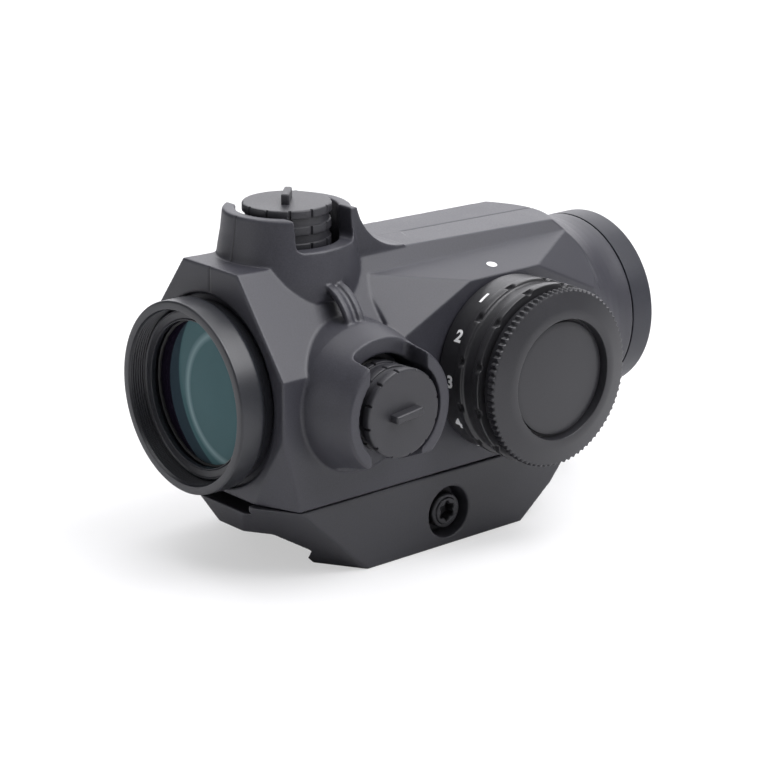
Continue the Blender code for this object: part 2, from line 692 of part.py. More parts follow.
def make_base():
    """The block that holds the rail, with room for the jaw, the cross screw and the base screws."""
    top = SPLIT_Z - GAP / 2
    base = block("mount_base", (-HALF_WIDTH, -41.5, LIP_Z), (HALF_WIDTH, 16.5, top), base_planes())
    slot = block("rear_slot", (-8.6, -43.5, 4.3), (8.6, -33.5, 8))
    jaw_room = block(
        "jaw_room",
        (-30, JAW_REAR_Y - GAP, LIP_Z - 2),
        (-7.4, JAW_FRONT_Y + GAP, JAW_TOP_Z + GAP),
    )
    shaft = rod("shaft_bore", 2.3, -20, 20, (0, SCREW_Y, SCREW_Z), "X", SMALL_STEPS)
    recess = rod("head_recess", 3.85, 12.6, 20, (0, SCREW_Y, SCREW_Z), "X", MEDIUM_STEPS)
    wells = []
    for i, (x, y) in enumerate(BASE_SCREWS):
        wells.append(rod(f"screw_well_{i}", 2.7, -3, 2.7, (x, y, 0), "Z", SMALL_STEPS))
        wells.append(rod(f"screw_way_{i}", 1.7, 1, 8, (x, y, 0), "Z", 12))
    cutters = [hide(c) for c in (slot, jaw_room, shaft, recess, *wells)]
    boolean(base, "DIFFERENCE", rail_channel("rail_space"), *cutters)
    dress(base, "anodised")


def make_base_screws():
    for i, (x, y) in enumerate(BASE_SCREWS):
        shank = [(0, 8.1), (1.4, 8.1), (1.4, 2.4)]
        head = [(2.4, 2.4), (2.4, 0.5), (1.1, 0.5), (1.1, 1.7), (0, 1.7)]
        dress(turned(f"base_screw_{i + 1}", shank + head, (x, y, 0), "Z", 12), "steel")


def make_clamp():
    """The screw that crosses the rail slot, and the jaw and nut that it draws in."""
    at = (0, SCREW_Y, SCREW_Z)
    socket = block("socket", (14.0, SCREW_Y - 0.8, SCREW_Z - 0.8), (18, SCREW_Y + 0.8, SCREW_Z + 0.8))
    screw = [(0, 15.7), (2.4, 15.7), (2.65, 15.45), (2.65, 12.9), (2.0, 12.9), (2.0, -15.6), (0, -15.6)]
    screw = turned("clamp_screw", screw, at, "X", SMALL_STEPS)
    dress(boolean(screw, "DIFFERENCE", hide(socket)), "steel")
    jaw = block(
        "clamp_jaw",
        (-HALF_WIDTH, JAW_REAR_Y, LIP_Z),
        (-RAIL_TOP_HALF + 0.25, JAW_FRONT_Y, JAW_TOP_Z),
        [((-HALF_WIDTH, 0, -4.4), (-0.7, 0, -0.7)), ((-HALF_WIDTH, 0, 2.6), (-0.7, 0, 0.7))],
    )
    bore = rod("jaw_bore", 2.3, -20, 0, at, "X", SMALL_STEPS)
    nut_room = rod("nut_room", 4.05, -20, -13.0, at, "X", 6)
    boolean(jaw, "DIFFERENCE", rail_channel("jaw_rail_space"), hide(bore), hide(nut_room))
    dress(jaw, "anodised")
    dress(sleeve("clamp_nut", 3.7, 2.3, -15.9, -13.3, at, "X", 6), "steel")


def main():
    make_housing()
    make_ocular()
    make_hood()
    make_optic_tube()
    make_bias_spring()
    make_turret("elevation", "Z", 136)
    make_turret("windage", "X", 97)
    make_knob()
    make_switch()
    make_base()
    make_base_screws()
    make_clamp()


clear_scene()
PRODUCT = new_collection("red_dot_finder")
HELPERS = new_collection("cutters")
main()
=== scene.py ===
"""Looks of the tubular red dot finder: fine geometry, procedural finishes, light and camera.

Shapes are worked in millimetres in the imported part's frame; settle() turns them into metres.
"""

import json
import math

import bmesh
import bpy
import numpy as np
from mathutils import Matrix, Vector

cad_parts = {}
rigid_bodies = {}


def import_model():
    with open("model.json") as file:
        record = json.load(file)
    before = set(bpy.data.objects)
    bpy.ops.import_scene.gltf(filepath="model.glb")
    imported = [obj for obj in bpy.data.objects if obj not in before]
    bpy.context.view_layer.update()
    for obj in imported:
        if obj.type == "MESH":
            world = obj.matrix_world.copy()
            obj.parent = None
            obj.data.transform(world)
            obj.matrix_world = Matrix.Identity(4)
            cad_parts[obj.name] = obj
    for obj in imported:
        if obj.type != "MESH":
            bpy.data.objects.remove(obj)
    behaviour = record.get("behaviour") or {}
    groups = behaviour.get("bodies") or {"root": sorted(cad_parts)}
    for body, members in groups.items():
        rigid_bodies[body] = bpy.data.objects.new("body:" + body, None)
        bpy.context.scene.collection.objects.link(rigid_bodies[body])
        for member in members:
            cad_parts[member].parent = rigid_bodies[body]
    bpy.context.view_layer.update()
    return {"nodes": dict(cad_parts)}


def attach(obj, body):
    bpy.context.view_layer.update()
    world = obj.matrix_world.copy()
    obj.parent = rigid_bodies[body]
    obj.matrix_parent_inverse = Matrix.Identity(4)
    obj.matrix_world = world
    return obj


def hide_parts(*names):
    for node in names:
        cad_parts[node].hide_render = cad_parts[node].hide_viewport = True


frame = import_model()

MM = 0.001
AXIS_Z = 20.3
REAR_Y = -46.3
FRONT_Y = 33.4
SHELL_REAR_Y = -41.0
HOOD_Y = 29.1
HALF_WIDTH = 16.1
SPLIT_Z = 5.75
GAP = 0.3
ROOF_HALF = 6.9
ROOF_REAR_Z = AXIS_Z + 18.1
ROOF_SLOPE = 0.0268
SHOULDER_Z = AXIS_Z + 17.1
WAIST_Z = AXIS_Z + 4.9
NECK_R = 13.9
BEZEL_R = 13.85
BORE_R = 12.0
TURRET_AT = (0, -27.15, AXIS_Z)
TURRET_Y = TURRET_AT[1]
GUARD_BORE_R = 7.3
GUARD_TOP = 24.5
CUP_FLOOR = 16.5
CAP_R = 6.36
CAP_FACE = 25.2
KNOB_AT = (0, 0, AXIS_Z)
KNOB_R = 12.95
KNOB_BACK = HALF_WIDTH + GAP
KNOB_FRONT = 24.8
GRIP_R = 13.2
GROOVE_R = 12.15
CAP_BACK = 26.6
CAP_OUT = 28.5
CAP_RIM_R = 13.1
DETENT_R = 9.4
TUBE_AT = (0, 0, AXIS_Z)
TUBE_R = 10.9
TUBE_REAR_Y = -33.5
TUBE_FRONT_Y = 25.5
GIMBAL_Y = 16.5
RAIL_TOP_HALF = 7.95
RAIL_WIDE_HALF = 10.75
LIP_HALF = 8.9
LIP_Z = -5.65
SCREW_AT = (0, -10.5, -0.65)
JAW_REAR_Y = -23.5
JAW_FRONT_Y = 3.5
JAW_TOP_Z = 3.4
BASE_SCREWS = [(-5.0, -25.5), (5.0, -25.5), (-5.0, 6.5), (5.0, 6.5)]

FINE = 160
VOXEL = 0.18
SOFTEN = 6
MOST_FACES = 190000

AXES = {
    "X": Matrix.Rotation(math.radians(90), 4, "Y"),
    "Y": Matrix.Rotation(math.radians(-90), 4, "X"),
    "Z": Matrix.Identity(4),
}
FRONT_VIEW = Matrix(((1, 0, 0, 0), (0, 0, -1, 0), (0, 1, 0, 0), (0, 0, 0, 1)))
SIDE_VIEW = Matrix(((0, 0, 1, 0), (1, 0, 0, 0), (0, 1, 0, 0), (0, 0, 0, 1)))

WORKSHOP = bpy.data.collections.new("workshop")
bpy.context.scene.collection.children.link(WORKSHOP)


# ---------------------------------------------------------------- mesh helpers
def bench(bm, placed=None):
    """A working object from a bmesh, in millimetres."""
    bmesh.ops.recalc_face_normals(bm, faces=bm.faces[:])
    if placed is not None:
        bm.transform(placed)
    mesh = bpy.data.meshes.new("work")
    bm.to_mesh(mesh)
    bm.free()
    obj = bpy.data.objects.new("work", mesh)
    WORKSHOP.objects.link(obj)
    return obj


def block(low, high, planes=()):
    """A box cut by planes, each a point and the normal of the side that goes."""
    low, high = Vector(low), Vector(high)
    bm = bmesh.new()
    bmesh.ops.create_cube(bm, size=1.0)
    bmesh.ops.scale(bm, vec=high - low, verts=bm.verts[:])
    bmesh.ops.translate(bm, vec=(high + low) / 2, verts=bm.verts[:])
    for point, normal in planes:
        cells = bm.verts[:] + bm.edges[:] + bm.faces[:]
        bmesh.ops.bisect_plane(bm, geom=cells, plane_co=point, plane_no=normal, clear_outer=True)
        bmesh.ops.holes_fill(bm, edges=[edge for edge in bm.edges if edge.is_boundary])
    return bench(bm)


def plate(outline, low, high, placed):
    """A flat outline given thickness from low to high, then placed by a matrix."""
    bm = bmesh.new()
    count = len(outline)
    bottom = [bm.verts.new((u, v, low)) for u, v in outline]
    top = [bm.verts.new((u, v, high)) for u, v in outline]
    ends = [bm.faces.new(bottom[::-1]), bm.faces.new(top)]
    for i in range(count):
        j = (i + 1) % count
        bm.faces.new((bottom[i], bottom[j], top[j], top[i]))
    bmesh.ops.triangulate(bm, faces=ends)
    return bench(bm, placed)


def rounded(profile, size=0.12, steps=3):
    """The profile with each corner off the axis eased. A third number on a point is its own size."""
    hollow = profile[0][0] > 1e-6
    points = [Vector(p[:2]) for p in profile]
    sizes = [p[2] if len(p) > 2 else size for p in profile]
    out = []
    for i, (corner, reach) in enumerate(zip(points, sizes)):
        if reach <= 0 or (not hollow and i in (0, len(points) - 1)):
            out.append(tuple(corner))
            continue
        before = points[i - 1] - corner
        after = points[(i + 1) % len(points)] - corner
        reach = min(reach, before.length * 0.45, after.length * 0.45)
        start, end = corner + before.normalized() * reach, corner + after.normalized() * reach
        for k in range(steps + 1):
            t = k / steps
            out.append(tuple(start * (1 - t) ** 2 + corner * 2 * t * (1 - t) + end * t * t))
    return out


def lathe(profile, at=(0, 0, 0), axis="Z", steps=FINE, wave=None, extra=None):
    """Turns (radius, height) points. wave(angles, radius, height) gives each ring its own radii."""
    angles = np.linspace(0, 2 * math.pi, steps, endpoint=False)
    hollow = profile[0][0] > 1e-6
    points, rings = [], []
    for radius, height in profile:
        first = len(points)
        if radius < 1e-6:
            points.append((0.0, 0.0, height))
            rings.append([first] * steps)
            continue
        radii = np.full(steps, radius) if wave is None else wave(angles, radius, height)
        points += zip(radii * np.cos(angles), radii * np.sin(angles), [height] * steps)
        rings.append(range(first, first + steps))
    faces = []
    for a, b in list(zip(rings, rings[1:])) + ([(rings[-1], rings[0])] if hollow else []):
        for i in range(steps):
            j = (i + 1) % steps
            faces.append(list(dict.fromkeys((a[i], a[j], b[j], b[i]))))
    mesh = bpy.data.meshes.new("work")
    mesh.from_pydata([tuple(p) for p in points], [], faces)
    bm = bmesh.new()
    bm.from_mesh(mesh)
    bpy.data.meshes.remove(mesh)
    placed = Matrix.Translation(Vector(at)) @ AXES[axis]
    return bench(bm, placed if extra is None else placed @ extra)


def rod(radius, low, high, at=(0, 0, 0), axis="Z", steps=FINE):
    return lathe([(0, high), (radius, high), (radius, low), (0, low)], at, axis, steps)


def sleeve(outer, inner, low, high, at, axis, size=0.08):
    profile = [(outer, high), (outer, low), (inner, low), (inner, high)]
    return lathe(rounded(profile, size), at, axis)


def mirrored(plane):
    """The plane and its twin on the other side of X = 0."""
    point, normal = plane
    return [((side * point[0], *point[1:]), (side * normal[0], *normal[1:])) for side in (1, -1)]


def boolean(obj, operation, others, solver="MANIFOLD"):
    for other in others:
        modifier = obj.modifiers.new(operation.lower(), "BOOLEAN")
        modifier.operation = operation
        modifier.solver = solver
        modifier.object = other
    return obj


def final_mesh(obj):
    """The object's mesh as its modifiers leave it."""
    bpy.context.view_layer.update()
    graph = bpy.context.evaluated_depsgraph_get()
    mesh = bpy.data.meshes.new_from_object(obj.evaluated_get(graph))
    mesh.transform(obj.matrix_world)
    return mesh


def joined_mesh(objs):
    """One mesh of several working objects."""
    bm = bmesh.new()
    for obj in objs:
        mesh = final_mesh(obj)
        bm.from_mesh(mesh)
        bpy.data.meshes.remove(mesh)
    mesh = bpy.data.meshes.new("joined")
    bm.to_mesh(mesh)
    bm.free()
    return mesh


def settle(name, source, finish, body, nodes=(), sharp=38):
    """Makes a working shape a piece: metres, smooth shading with crisp edges, finish, body, CAD nodes."""
    mesh = source if isinstance(source, bpy.types.Mesh) else final_mesh(source)
    mesh.transform(Matrix.Scale(MM, 4))
    mesh.materials.clear()
    mesh.materials.append(finish)
    mesh.shade_smooth()
    if sharp:
        mesh.set_sharp_from_angle(angle=math.radians(sharp))
    obj = bpy.data.objects.new(name, mesh)
    bpy.context.scene.collection.objects.link(obj)
    if sharp:
        weighted = obj.modifiers.new("normals", "WEIGHTED_NORMAL")
        weighted.keep_sharp = True
        weighted.weight = 80
    for old in list(WORKSHOP.objects):
        bpy.data.objects.remove(old, do_unlink=True)
    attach(obj, body)
    if nodes:
        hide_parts(*nodes)
    return obj


def cast_skin(obj, adjust=None, voxel=VOXEL, soften=SOFTEN):
    """Melts the assembled solid into one skin with softened edges, as a casting leaves them."""
    skin = obj.modifiers.new("skin", "REMESH")
    skin.mode = "VOXEL"
    skin.voxel_size = voxel
    ease = obj.modifiers.new("ease", "SMOOTH")
    ease.factor = 0.5
    ease.iterations = soften
    mesh = final_mesh(obj)
    if adjust:
        count = len(mesh.vertices)
        points = np.empty(count * 3, np.float32)
        normals = np.empty(count * 3, np.float32)
        mesh.vertices.foreach_get("co", points)
        mesh.vertex_normals.foreach_get("vector", normals)
        points = adjust(points.reshape(-1, 3), normals.reshape(-1, 3))
        mesh.vertices.foreach_set("co", points.astype(np.float32).ravel())
        mesh.update()
    faces = 2 * len(mesh.polygons)
    if faces <= MOST_FACES:
        return mesh
    light = bpy.data.objects.new("work", mesh)
    WORKSHOP.objects.link(light)
    thin = light.modifiers.new("thin", "DECIMATE")
    thin.ratio = MOST_FACES / faces
    return final_mesh(light)


# ---------------------------------------------------------------- finishes
def noise(tree, coords, size_mm, detail=3.0):
    """Noise whose grains are about size_mm across."""
    made = tree.nodes.new("ShaderNodeTexNoise")
    made.inputs["Scale"].default_value = 1 / (size_mm * MM)
    made.inputs["Detail"].default_value = detail
    tree.links.new(coords, made.inputs["Vector"])
    return made.outputs["Fac"]


def ranged(tree, value, low, high, start=0.3, end=0.7):
    """Maps a socket from start..end to low..high, held at both ends."""
    made = tree.nodes.new("ShaderNodeMapRange")
    for name, number in (("From Min", start), ("From Max", end), ("To Min", low), ("To Max", high)):
        made.inputs[name].default_value = number
    tree.links.new(value, made.inputs["Value"])
    return made.outputs["Result"]


def tinted(tree, factor, dark, light):
    """Mixes two colours. Either may be a socket."""
    made = tree.nodes.new("ShaderNodeMix")
    made.data_type = "RGBA"
    sockets = [socket for socket in made.inputs if socket.type == "RGBA"]
    for socket, colour in zip(sockets, (dark, light)):
        if isinstance(colour, bpy.types.NodeSocket):
            tree.links.new(colour, socket)
        else:
            socket.default_value = (*colour, 1)
    tree.links.new(factor, made.inputs["Factor"])
    return next(socket for socket in made.outputs if socket.type == "RGBA")


def worked(tree, operation, *values):
    """The result of a math node on sockets or numbers."""
    made = tree.nodes.new("ShaderNodeMath")
    made.operation = operation
    for slot, value in enumerate(values):
        if isinstance(value, bpy.types.NodeSocket):
            tree.links.new(value, made.inputs[slot])
        else:
            made.inputs[slot].default_value = value
    return made.outputs[0]


def surface(name, colour, rough, metallic=0.0, grain=0.25, size=0.3, bump=0.12, spread=0.06, **more):
    """A finish whose colour, roughness and relief come from fine grain and broad mottling."""
    made = bpy.data.materials.new(name)
    made.use_nodes = True
    tree = made.node_tree
    shader = tree.nodes["Principled BSDF"]
    coords = tree.nodes.new("ShaderNodeTexCoord").outputs["Object"]
    fine = noise(tree, coords, size)
    broad = noise(tree, coords, 11.0, 2.0)
    dark = tuple(c * (1 - grain) for c in colour)
    light = tuple(min(1.0, c * (1 + grain)) for c in colour)
    grains = worked(tree, "MULTIPLY_ADD", broad, 0.35, fine)
    mixed = ranged(tree, grains, 0, 1, 0.45, 0.9)
    tree.links.new(tinted(tree, mixed, dark, light), shader.inputs["Base Color"])
    patchy = ranged(tree, grains, rough - spread, rough + spread, 0.45, 0.9)
    tree.links.new(patchy, shader.inputs["Roughness"])
    relief = tree.nodes.new("ShaderNodeBump")
    relief.inputs["Strength"].default_value = bump
    relief.inputs["Distance"].default_value = 0.03 * MM
    tree.links.new(fine, relief.inputs["Height"])
    tree.links.new(relief.outputs["Normal"], shader.inputs["Normal"])
    shader.inputs["Metallic"].default_value = metallic
    for key, value in more.items():
        shader.inputs[key.replace("_", " ")].default_value = value
    return made


def seamed(made):
    """Adds the dark hairline that a mould leaves along the middle plane, above the roof's shoulders."""
    tree = made.node_tree
    base = tree.nodes["Principled BSDF"].inputs["Base Color"]
    place = tree.nodes.new("ShaderNodeSeparateXYZ")
    tree.links.new(tree.nodes.new("ShaderNodeTexCoord").outputs["Object"], place.inputs[0])
    near = ranged(tree, worked(tree, "ABSOLUTE", place.outputs["X"]), 1, 0, 0.07 * MM, 0.17 * MM)
    above = ranged(tree, place.outputs["Z"], 0, 0.7, (AXIS_Z + 14.2) * MM, (AXIS_Z + 14.8) * MM)
    line = worked(tree, "MULTIPLY", near, above)
    tree.links.new(tinted(tree, line, base.links[0].from_socket, (0.004, 0.004, 0.005)), base)
    return made


def beyond(tree, coords, at, radius, soft=0.12):
    """1 outside a circle that lies across the optical axis, 0 inside it. at is measured from the axis."""
    shift = tree.nodes.new("ShaderNodeMapping")
    shift.inputs["Location"].default_value = (-at[0] * MM, 0, -(AXIS_Z + at[1]) * MM)
    shift.inputs["Scale"].default_value = (1, 0, 1)
    tree.links.new(coords, shift.inputs["Vector"])
    length = tree.nodes.new("ShaderNodeVectorMath")
    length.operation = "LENGTH"
    tree.links.new(shift.outputs[0], length.inputs[0])
    return ranged(tree, length.outputs["Value"], 0, 1, (radius - soft) * MM, (radius + soft) * MM)


def glass(name, colour, glint, alpha, glint_at, glint_r, shade_rings=()):
    """Coated glass with painted light: a painted highlight in a light crescent where the bore's far edge
    shows, painted shade in dark rings round it, and a faint glow.
    """
    made = bpy.data.materials.new(name)
    made.use_nodes = True
    made.blend_method = "BLEND"
    tree = made.node_tree
    shader = tree.nodes["Principled BSDF"]
    coords = tree.nodes.new("ShaderNodeTexCoord").outputs["Object"]
    haze = noise(tree, coords, 5.0)
    seen = tinted(tree, ranged(tree, haze, 0, 1), tuple(c * 0.94 for c in colour), colour)
    outer = beyond(tree, coords, glint_at, glint_r + 0.4, -0.4)
    # Painted highlight: the glint colour laid in a crescent band round glint_at.
    crescent = worked(tree, "MULTIPLY", beyond(tree, coords, glint_at, glint_r - 0.4, 0.35), outer)
    seen = tinted(tree, crescent, seen, glint)
    # Painted shade: each dark ring covers the glass outside its circle.
    for at, radius, shade in shade_rings:
        seen = tinted(tree, beyond(tree, coords, at, radius), seen, shade)
    tree.links.new(seen, shader.inputs["Base Color"])
    # Painted light: the glass glows faintly in its own colours, highlight and shade rings included, though
    # it is no lamp.
    tree.links.new(seen, shader.inputs["Emission Color"])
    shader.inputs["Emission Strength"].default_value = 0.5
    tree.links.new(ranged(tree, haze, 0.03, 0.06), shader.inputs["Roughness"])
    shader.inputs["Specular IOR Level"].default_value = 0.04
    shader.inputs["Alpha"].default_value = alpha
    return made


BODY = seamed(surface("body_finish", (0.029, 0.029, 0.037), 0.47, 0.0, 0.22, 0.22, 0.22))
BASE = surface("base_finish", (0.024, 0.024, 0.029), 0.45, 0.0, 0.22, 0.22, 0.2)
HOOD = surface("hood_finish", (0.026, 0.027, 0.034), 0.46, 0.0, 0.18, 0.2, 0.08, Specular_IOR_Level=0.35)
BEZEL = surface("bezel_finish", (0.018, 0.019, 0.023), 0.36, 0.0, 0.18, 0.2, 0.08)
CAP = surface("cap_finish", (0.021, 0.021, 0.025), 0.46, 0.0, 0.25, 0.18, 0.2)
KNOB = surface("knob_finish", (0.019, 0.019, 0.021), 0.36, 0.0, 0.06, 0.3, 0.015)
KNOB_FACE = surface("knob_face_finish", (0.015, 0.015, 0.018), 0.42, 0.0, 0.2, 0.2, 0.15)
INNER = surface("inner_black", (0.010, 0.010, 0.012), 0.55, 0.0, 0.3, 0.3, 0.1)
STEEL = surface("blackened_steel", (0.030, 0.030, 0.033), 0.34, 0.6, 0.25, 0.25, 0.1)
SPRING = surface("spring_steel", (0.45, 0.45, 0.47), 0.28, 1.0, 0.15, 0.3, 0.05)
BRASS = surface("turned_brass", (0.55, 0.40, 0.17), 0.33, 1.0, 0.15, 0.3, 0.08)
RUBBER = surface("seal_rubber", (0.012, 0.012, 0.012), 0.68, 0.0, 0.3, 0.2, 0.15)
BOARD = surface("board_green", (0.015, 0.09, 0.045), 0.45, 0.0, 0.3, 0.5, 0.1)
CELL = surface("cell_steel", (0.55, 0.55, 0.57), 0.26, 1.0, 0.1, 0.3, 0.04)
LAMP = surface("lamp_red", (0.45, 0.03, 0.02), 0.18, 0.0, 0.1, 0.5, 0.02)
MARK = surface("mark_white", (0.80, 0.80, 0.80), 0.55, 0.0, 0.06, 0.15, 0.05)
# Painted shade on the ocular glass: dark rings given as centre from the axis, radius and colour.
SHADE_RINGS = [((7.6, 1.8), 14.0, (0.017, 0.026, 0.033)), ((3.3, 0.0), 12.0, (0.004, 0.003, 0.006))]
# Each glass: colour, painted highlight colour, alpha, and the centre and radius of the highlight crescent.
GLASS = glass("ocular_glass", (0.038, 0.073, 0.080), (0.105, 0.155, 0.165), 0.95, (5.3, 0.0), 9.6, SHADE_RINGS)
FRONT_GLASS = glass("objective_glass", (0.10, 0.028, 0.018), (0.22, 0.09, 0.06), 0.9, (0.0, 0.0), 8.4)


# ---------------------------------------------------------------- housing
def shell_block():
    chamfer = ((HALF_WIDTH, 0, WAIST_Z), (SHOULDER_Z - WAIST_Z, 0, HALF_WIDTH - ROOF_HALF))
    roof = ((0, SHELL_REAR_Y, ROOF_REAR_Z), (0, ROOF_SLOPE, 1))
    rear_corner = ((HALF_WIDTH, SHELL_REAR_Y, AXIS_Z - 3.3), (0.37, -0.90, -0.227))
    low = (-HALF_WIDTH, SHELL_REAR_Y, SPLIT_Z + 0.06)
    high = (HALF_WIDTH, HOOD_Y + 0.02, ROOF_REAR_Z + 1)
    return block(low, high, [roof, *mirrored(chamfer), *mirrored(rear_corner)])


def neck_cutter():
    cone_y, cone_r, cone_slope = 17.55, 18.2, 0.6
    wide_y = 6.5
    blend_y = cone_y + (cone_r - NECK_R) / cone_slope
    profile = [
        (32, HOOD_Y + 2),
        (32, wide_y),
        (cone_r + cone_slope * (cone_y - wide_y), wide_y),
        (NECK_R + cone_slope * 1.8, blend_y - 1.8),
        (NECK_R + 0.42, blend_y - 0.3),
        (NECK_R + 0.10, blend_y + 1.2),
        (NECK_R, blend_y + 2.6),
        (NECK_R, HOOD_Y + 2),
    ]
    return lathe(profile, TUBE_AT, "Y", 192)


def guard(axis, foot_r, foot=13.0):
    profile = [
        (0, GUARD_TOP),
        (8.95, GUARD_TOP),
        (9.15, GUARD_TOP - 0.35),
        (9.45, GUARD_TOP - 3.0),
        (9.85, GUARD_TOP - 5.2),
        (foot_r, 15.8),
        (foot_r + 0.2, foot),
        (0, foot),
    ]
    return lathe(profile, TURRET_AT, axis, 192)


def knob_boss():
    ridge = ((8.56, 0, AXIS_Z + 14.9), (1.7, 0, 7.54))
    rear = ((HALF_WIDTH, -6.5, AXIS_Z + 13.2), (118.2, -53.6, 112.0))
    front = ((HALF_WIDTH, 6.5, AXIS_Z + 13.2), (118.2, 53.6, 112.0))
    return block((5.0, -20.5, AXIS_Z + 2.0), (HALF_WIDTH, 20.5, AXIS_Z + 16.0), [ridge, rear, front])


def tower_flare():
    sweep_r = 9.2
    sweep_y, sweep_z = -11.06, AXIS_Z + 26.7
    top_z = AXIS_Z + GUARD_TOP - 0.1
    start = math.degrees(math.asin((top_z - sweep_z) / sweep_r))
    angles = [math.radians(180 - start + (start + 90) * i / 40) for i in range(41)]
    arc = [(sweep_y + sweep_r * math.cos(a), sweep_z + sweep_r * math.sin(a)) for a in angles]
    outline = [(TURRET_Y, AXIS_Z + 12), (sweep_y, AXIS_Z + 12)] + arc[::-1] + [(TURRET_Y, top_z)]
    return plate(outline, -ROOF_HALF, ROOF_HALF, SIDE_VIEW)


def lanyard_eye():
    """The cast arch: two ribs with a groove between them."""
    centre = Vector((11.6, TURRET_Y, AXIS_Z + 10.85))
    down = Vector((0.6, 0, -0.8))
    out = Vector((0.8, 0, 0.6))
    turn = Matrix((down, out, -out.cross(down))).transposed().to_4x4()
    placed = Matrix.Translation(centre) @ turn
    angles = [math.radians(180 * i / 40) for i in range(41)]
    made = []
    for low, high, dip in ((-1.55, -0.5, 0), (-0.6, 0.6, 0.35), (0.5, 1.55, 0)):
        long_r, high_r, inner_long, inner_high = 5.0 - dip, 3.25 - dip, 4.05, 2.3
        ring = [(long_r * math.cos(a), high_r * math.sin(a)) for a in angles]
        hole = [(inner_long * math.cos(a), inner_high * math.sin(a)) for a in reversed(angles)]
        outline = ring + [(-long_r, -1.6), (-inner_long, -1.6)] + hole
        outline += [(inner_long, -1.6), (long_r, -1.6)]
        made.append(plate(outline, low, high, placed))
    return made


def turret_cutter(axis):
    profile = [
        (0, GUARD_TOP + 2),
        (GUARD_BORE_R, GUARD_TOP + 2),
        (GUARD_BORE_R, CUP_FLOOR),
        (4.5, CUP_FLOOR),
        (4.5, 9.0),
        (0, 9.0),
    ]
    return lathe(profile, TURRET_AT, axis)


def guard_notches():
    across = block((-13.0, TURRET_Y - 4.85, AXIS_Z + 20.0), (13.0, TURRET_Y + 6.0, AXIS_Z + 27.0))
    top = block((20.3, TURRET_Y - 5.3, AXIS_Z + 3.0), (27.0, TURRET_Y + 4.9, AXIS_Z + 13.0))
    bottom = block((HALF_WIDTH + GAP, TURRET_Y - 5.1, AXIS_Z - 13.0), (27.0, TURRET_Y + 3.9, AXIS_Z - 3.0))
    under = block(
        (HALF_WIDTH, TURRET_Y - 13, AXIS_Z - 14),
        (27.0, TURRET_Y + 13, AXIS_Z - 4),
        [((24.4, 0, AXIS_Z - 6.9), (-0.44, 0, 1))],
    )
    for notch in (across, top, bottom):
        bevel = notch.modifiers.new("round", "BEVEL")
        bevel.width = 0.95
        bevel.segments = 6
    return [across, top, bottom, under]


def housing_cutters():
    bore = [
        (0, HOOD_Y + 2),
        (BORE_R, HOOD_Y + 2),
        (BORE_R, SHELL_REAR_Y + 1.0),
        (14.0, SHELL_REAR_Y + 1.0),
        (14.0, SHELL_REAR_Y - 2),
        (0, SHELL_REAR_Y - 2),
    ]
    cutters = [
        lathe(bore, TUBE_AT, "Y", 192),
        rod(7.5, 13.6, HALF_WIDTH + 2, KNOB_AT, "X"),
        rod(1.2, 9.0, 14.6, (0, 0, AXIS_Z - 4), "X", 32),
        rod(1.1, 13.3, HALF_WIDTH + 2, (0, 0, AXIS_Z - DETENT_R), "X", 32),
    ]
    return cutters + [rod(1.7, SPLIT_Z - 1, 8.4, (x, y, 0), "Z", 32) for x, y in BASE_SCREWS]


def parting_line(points, normals):
    """A fine groove down the middle of the roof, the tower's rear wall and the rear face."""
    x, y, z = points.T
    on_roof = (normals[:, 2] > 0.5) & (z > SHOULDER_Z - 2) & (y > -6) & (y < 27)
    behind = (normals[:, 1] < -0.5) & (z > AXIS_Z + 14.5)
    depth = 0.14 * np.exp(-((x / 0.14) ** 2)) * (on_roof | behind)
    return points - normals * depth[:, None]


def make_housing():
    shell = shell_block()
    guards = [guard("Z", 10.4), guard("X", 10.7, 9.8)]
    boolean(shell, "UNION", [knob_boss(), *guards, tower_flare(), *lanyard_eye()])
    cut = [neck_cutter(), turret_cutter("Z"), turret_cutter("X"), *guard_notches(), *housing_cutters()]
    boolean(shell, "DIFFERENCE", cut)
    settle("housing_casting", cast_skin(shell, parting_line), BODY, "housing", ["housing"], 0)


def make_index_dot():
    tilt = Matrix.Rotation(math.atan2(1.7, 7.54), 4, "Y")
    profile = rounded([(0, 0.05), (0.8, 0.05), (0.8, -0.1), (0, -0.1)], 0.03)
    dot = lathe(profile, (13.3, 0, 34.14), "Z", 48, None, tilt)
    settle("index_dot", dot, MARK, "housing")


# ---------------------------------------------------------------- optics
def threads(radius, low, high, pitch=0.5, depth=0.26):
    """Crests and roots of a female thread, seen in section, from low to high."""
    count = int(abs(high - low) / pitch)
    step = (high - low) / count
    out = []
    for i in range(count):
        out += [(radius - depth, low + step * (i + 0.12)), (radius, low + step * (i + 0.5))]
        out += [(radius - depth, low + step * (i + 0.88))]
    return out


